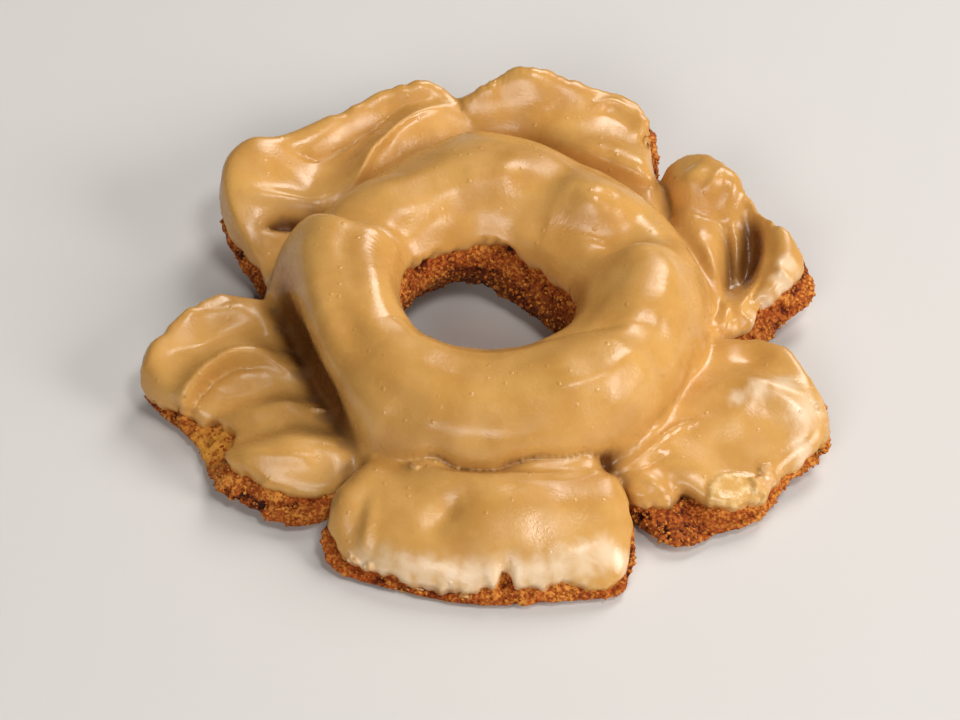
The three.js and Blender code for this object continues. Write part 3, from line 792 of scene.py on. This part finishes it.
def keep_between_base_and_top(points):
    """Moves points that stray under the flat base or over the solids' top, in place."""
    points[:, 2] = np.maximum(points[:, 2], 0)
    over = np.maximum(points[:, 2] - (TOP - TOP_SOFTNESS), 0)
    points[:, 2] -= over - TOP_SOFTNESS * (1 - np.exp(-over / TOP_SOFTNESS))


def store_shades(skin, where):
    """Stores how strongly the cake takes painted shade low in the hole and how strongly it is golden.
    """
    reach = np.hypot(*(where[:, :2] - HOLE).T)
    within = 1 - smoothstep(reach, *HOLE_SHADE_RADII)
    store(skin, "hole_shade", within * (1 - smoothstep(where[:, 2], *HOLE_SHADE_HEIGHTS)))
    away = np.hypot(*(where[:, :2] - polar(*GOLDEN_PLACE)).T)
    store(skin, "golden", np.exp(-(away / (GOLDEN_SIZE * MM)) ** 2))


def shape_skin(skin):
    """Moves the skin into the cake's finished shape, and stores the icing's own on it."""
    where, out = places(skin), normals(skin)
    spots = [Vector(place) for place in where]
    coat = stored_vectors(skin, "coat")
    length = np.linalg.norm(coat, axis=1)[:, None]
    way = np.where(length > NO_COAT, coat / np.maximum(length, NO_COAT), out)

    lift, hollow = strokes(where + coat)
    swell = np.array([layered(p, SWELLS) for p in spots])
    rise = (lift + swell * MM) * smoothstep(stored_numbers(skin, "cover"), 0, 1)
    distance = edge_distance(skin) - np.array([edge_wobble(p) for p in spots])
    crag = np.array([crumb_height(p) for p in spots]) * (1 - smoothstep(distance, *CRUMB_RANGE))
    rough = crag * smoothstep(where[:, 2], *FOOT_RANGE)
    cake = where + out * (rough * MM)[:, None] + way * rise[:, None]

    depth = 1 - np.clip(distance / EDGE_ROUND, 0, 1)
    depth = np.sqrt(1 - depth**2)
    marks = {name: mark(name, where) for name in MARKS}
    thick = depth + raised(marks) / ICING_DEPTH * smoothstep(distance, 0, MARK_MARGIN)
    icing = cake + coat * thick[:, None] - out * (EDGE_SUNK * (1 - depth))[:, None]
    backed = cake - out * BACK_DEPTH * MM
    for points in (cake, icing, backed):
        keep_between_base_and_top(points)

    for name, strength in marks.items():
        store(skin, name, strength)
    store(skin, "distance", distance)
    store(skin, "crag", crag)
    store(skin, "hollow", hollow)
    store(skin, "iced", icing)
    store(skin, "backed", backed)
    store_shades(skin, where)
    skin.vertices.foreach_set("co", cake.ravel())
    skin.update()


# --- The pieces -----------------------------------------------------------------------------

EDGE_KEPT = 0.7 * MM  # how far past the edge the sunk icing goes
HIDDEN = 1.2 * MM  # cake this far in under the icing needs no detail
COARSE_STEPS = 4

GRANULES = 3200
GRANULE_RADII = (0.12, 0.38)
GRANULE_STAND = 0.15  # how far a granule's middle stands above the cake, as a share of its radius
GRANULE_SQUASH = (0.6, 1.3)
GRANULE_TURN = 6.3  # radians
GRANULE_ROUGH = 0.24  # how far its corners wander, as a share of its radius
GRANULE_FACING = -0.5  # faces that look further down than this carry none


def make_granules(skin):
    """Loose grains of fried crumb, scattered over the bare cake wherever it can be seen."""
    draw = np.random.default_rng(SEED)
    distance = stored_numbers(skin, "distance")
    bare = [face for face in skin.polygons if face.center.z > UNDERSIDE / 2
            and face.normal.z > GRANULE_FACING and max(distance[i] for i in face.vertices) < 0]
    areas = np.array([face.area for face in bare])
    low, high = GRANULE_RADII
    bm = bmesh.new()
    for i in draw.choice(len(bare), GRANULES, p=areas / areas.sum()):
        face = bare[i]
        radius = (low + (high - low) * draw.random() ** 2) * MM
        squash = Matrix.Diagonal((*draw.uniform(*GRANULE_SQUASH, 3), 1))
        turn = Matrix.Rotation(draw.uniform(0, GRANULE_TURN), 4, Vector(draw.normal(size=3)))
        place = Matrix.Translation(face.center + face.normal * radius * GRANULE_STAND)
        made = bmesh.ops.create_icosphere(bm, subdivisions=1, radius=radius,
                                          matrix=place @ turn @ squash)
        for vert in made["verts"]:
            vert.co += Vector(draw.normal(size=3)) * radius * GRANULE_ROUGH
            vert.co.z = max(vert.co.z, 0)
    return new_mesh("granules", bm)


def make_icing(skin):
    """The icing as a closed body: its outside, and an inside sunk in the cake."""
    bm = bmesh.new()
    bm.from_mesh(skin)
    vectors, values = bm.verts.layers.float_vector, bm.verts.layers.float
    distance, iced, backed = values["distance"], vectors["iced"], vectors["backed"]
    gone = [face for face in bm.faces if max(vert[distance] for vert in face.verts) < -EDGE_KEPT]
    bmesh.ops.delete(bm, geom=gone, context="FACES")
    inner = list(bm.verts)
    copied = bmesh.ops.extrude_face_region(bm, geom=bm.faces[:], use_keep_orig=True)["geom"]
    for vert in copied:
        if isinstance(vert, bmesh.types.BMVert):
            vert.co = vert[iced]
    for vert in inner:
        vert.co = vert[backed]
    deep = [vert for vert in inner if vert[distance] > HIDDEN]
    bmesh.ops.unsubdivide(bm, verts=deep, iterations=COARSE_STEPS)
    bmesh.ops.recalc_face_normals(bm, faces=bm.faces)
    return new_mesh("maple icing", bm)


def make_cake(skin):
    """The cake, with no more faces than it needs where the icing hides it."""
    bm = bmesh.new()
    bm.from_mesh(skin)
    distance = bm.verts.layers.float["distance"]
    deep = [vert for vert in bm.verts if vert[distance] > HIDDEN]
    bmesh.ops.unsubdivide(bm, verts=deep, iterations=COARSE_STEPS)
    return new_mesh("fried cake", bm)


def add_piece(name, mesh, finish):
    """Makes an object of a mesh that moves with the doughnut."""
    piece = bpy.data.objects.new(name, mesh)
    bpy.context.scene.collection.objects.link(piece)
    mesh.materials.clear()
    mesh.materials.append(finish)
    mesh.shade_smooth()
    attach(piece, "root")
    return piece


add_camera()
add_studio()
add_table()
skin = make_skin()
shape_skin(skin)
icing = add_piece("icing", make_icing(skin), icing_finish())
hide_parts("maple_icing")
add_piece("crumb_grains", make_granules(skin), cake_finish("crumb grains", GRAIN_LIGHTER))
cake = add_piece("fried_cake", make_cake(skin), cake_finish("fried cake", 0))
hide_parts("cake")
